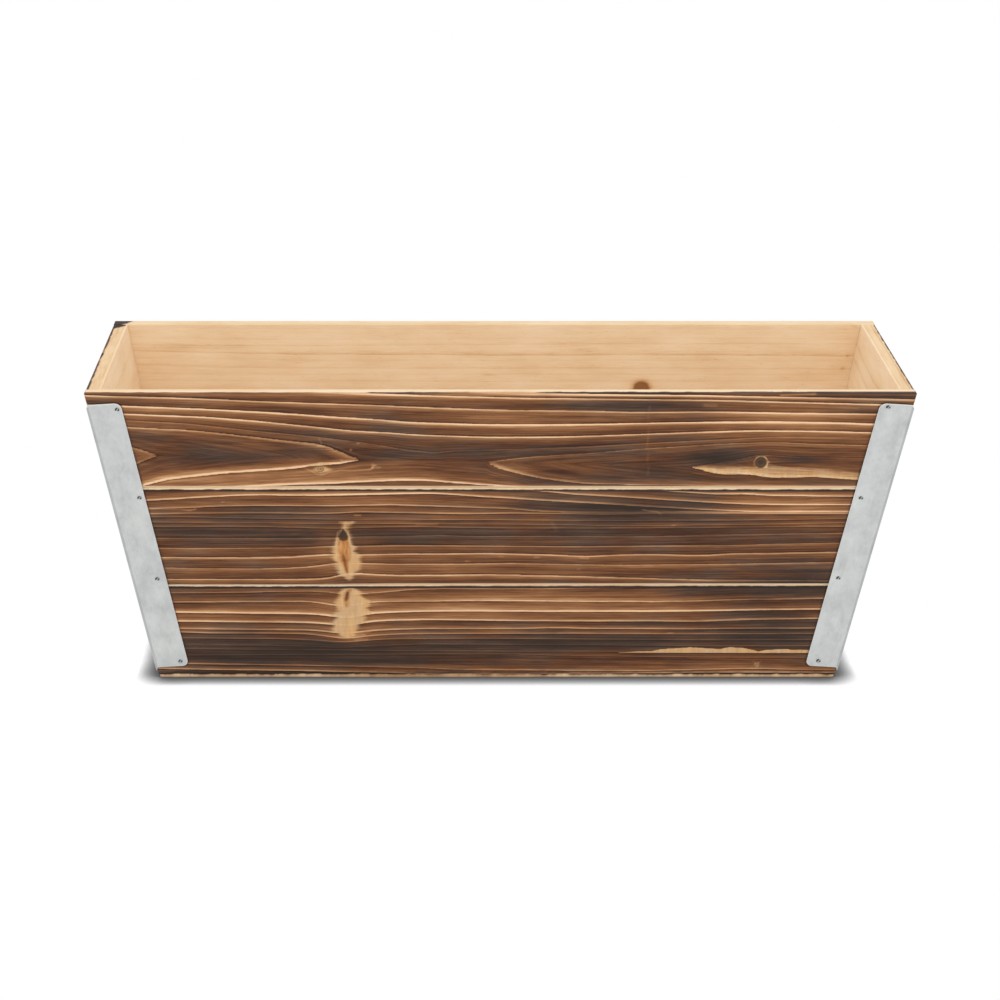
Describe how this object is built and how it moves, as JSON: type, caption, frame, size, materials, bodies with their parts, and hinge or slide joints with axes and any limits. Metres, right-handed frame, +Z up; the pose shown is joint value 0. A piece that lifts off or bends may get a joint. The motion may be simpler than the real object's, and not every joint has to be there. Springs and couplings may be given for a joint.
{
  "type": "window box planter",
  "caption": "Tapered trough planter of torched softwood planks with a bare pine inside, slit board floor and galvanised straps nailed round the corners.",
  "frame": {"origin": "middle of the base, on the plane that the wall planks stand on", "axes": "+X along the length to the right, +Y from the front wall to the back wall, +Z up through the open rim"},
  "size_m": [0.6096, 0.2046, 0.236],
  "materials": {
    "torched_softwood": "torched and brushed outside, bare inside and on the rim",
    "bare_pine": "planed, unfinished",
    "galvanised_sheet": "galvanised with a faint spangle",
    "wire_nail": "bright wire"
  },
  "bodies": {
    "root": {"front_bottom_plank": "torched_softwood", "front_middle_plank": "torched_softwood", "front_top_plank": "torched_softwood", "back_bottom_plank": "torched_softwood", "back_middle_plank": "torched_softwood", "back_top_plank": "torched_softwood", "left_bottom_plank": "torched_softwood", "left_middle_plank": "torched_softwood", "left_top_plank": "torched_softwood", "right_bottom_plank": "torched_softwood", "right_middle_plank": "torched_softwood", "right_top_plank": "torched_softwood", "front_floor_board": "bare_pine", "back_floor_board": "bare_pine", "front_left_strap": "galvanised_sheet", "front_right_strap": "galvanised_sheet", "back_left_strap": "galvanised_sheet", "back_right_strap": "galvanised_sheet", "front_left_strap_face_nail_1": "wire_nail", "front_left_strap_face_nail_2": "wire_nail", "front_left_strap_face_nail_3": "wire_nail", "front_left_strap_face_nail_4": "wire_nail", "front_left_strap_end_nail_1": "wire_nail", "front_left_strap_end_nail_2": "wire_nail", "front_left_strap_end_nail_3": "wire_nail", "front_left_strap_end_nail_4": "wire_nail", "front_right_strap_face_nail_1": "wire_nail", "front_right_strap_face_nail_2": "wire_nail", "front_right_strap_face_nail_3": "wire_nail", "front_right_strap_face_nail_4": "wire_nail", "front_right_strap_end_nail_1": "wire_nail", "front_right_strap_end_nail_2": "wire_nail", "front_right_strap_end_nail_3": "wire_nail", "front_right_strap_end_nail_4": "wire_nail", "back_left_strap_face_nail_1": "wire_nail", "back_left_strap_face_nail_2": "wire_nail", "back_left_strap_face_nail_3": "wire_nail", "back_left_strap_face_nail_4": "wire_nail", "back_left_strap_end_nail_1": "wire_nail", "back_left_strap_end_nail_2": "wire_nail", "back_left_strap_end_nail_3": "wire_nail", "back_left_strap_end_nail_4": "wire_nail", "back_right_strap_face_nail_1": "wire_nail", "back_right_strap_face_nail_2": "wire_nail", "back_right_strap_face_nail_3": "wire_nail", "back_right_strap_face_nail_4": "wire_nail", "back_right_strap_end_nail_1": "wire_nail", "back_right_strap_end_nail_2": "wire_nail", "back_right_strap_end_nail_3": "wire_nail", "back_right_strap_end_nail_4": "wire_nail", "left_floor_nail_1": "wire_nail", "left_floor_nail_2": "wire_nail", "left_floor_nail_3": "wire_nail", "left_floor_nail_4": "wire_nail", "right_floor_nail_1": "wire_nail", "right_floor_nail_2": "wire_nail", "right_floor_nail_3": "wire_nail", "right_floor_nail_4": "wire_nail"}
  },
  "joints": []
}
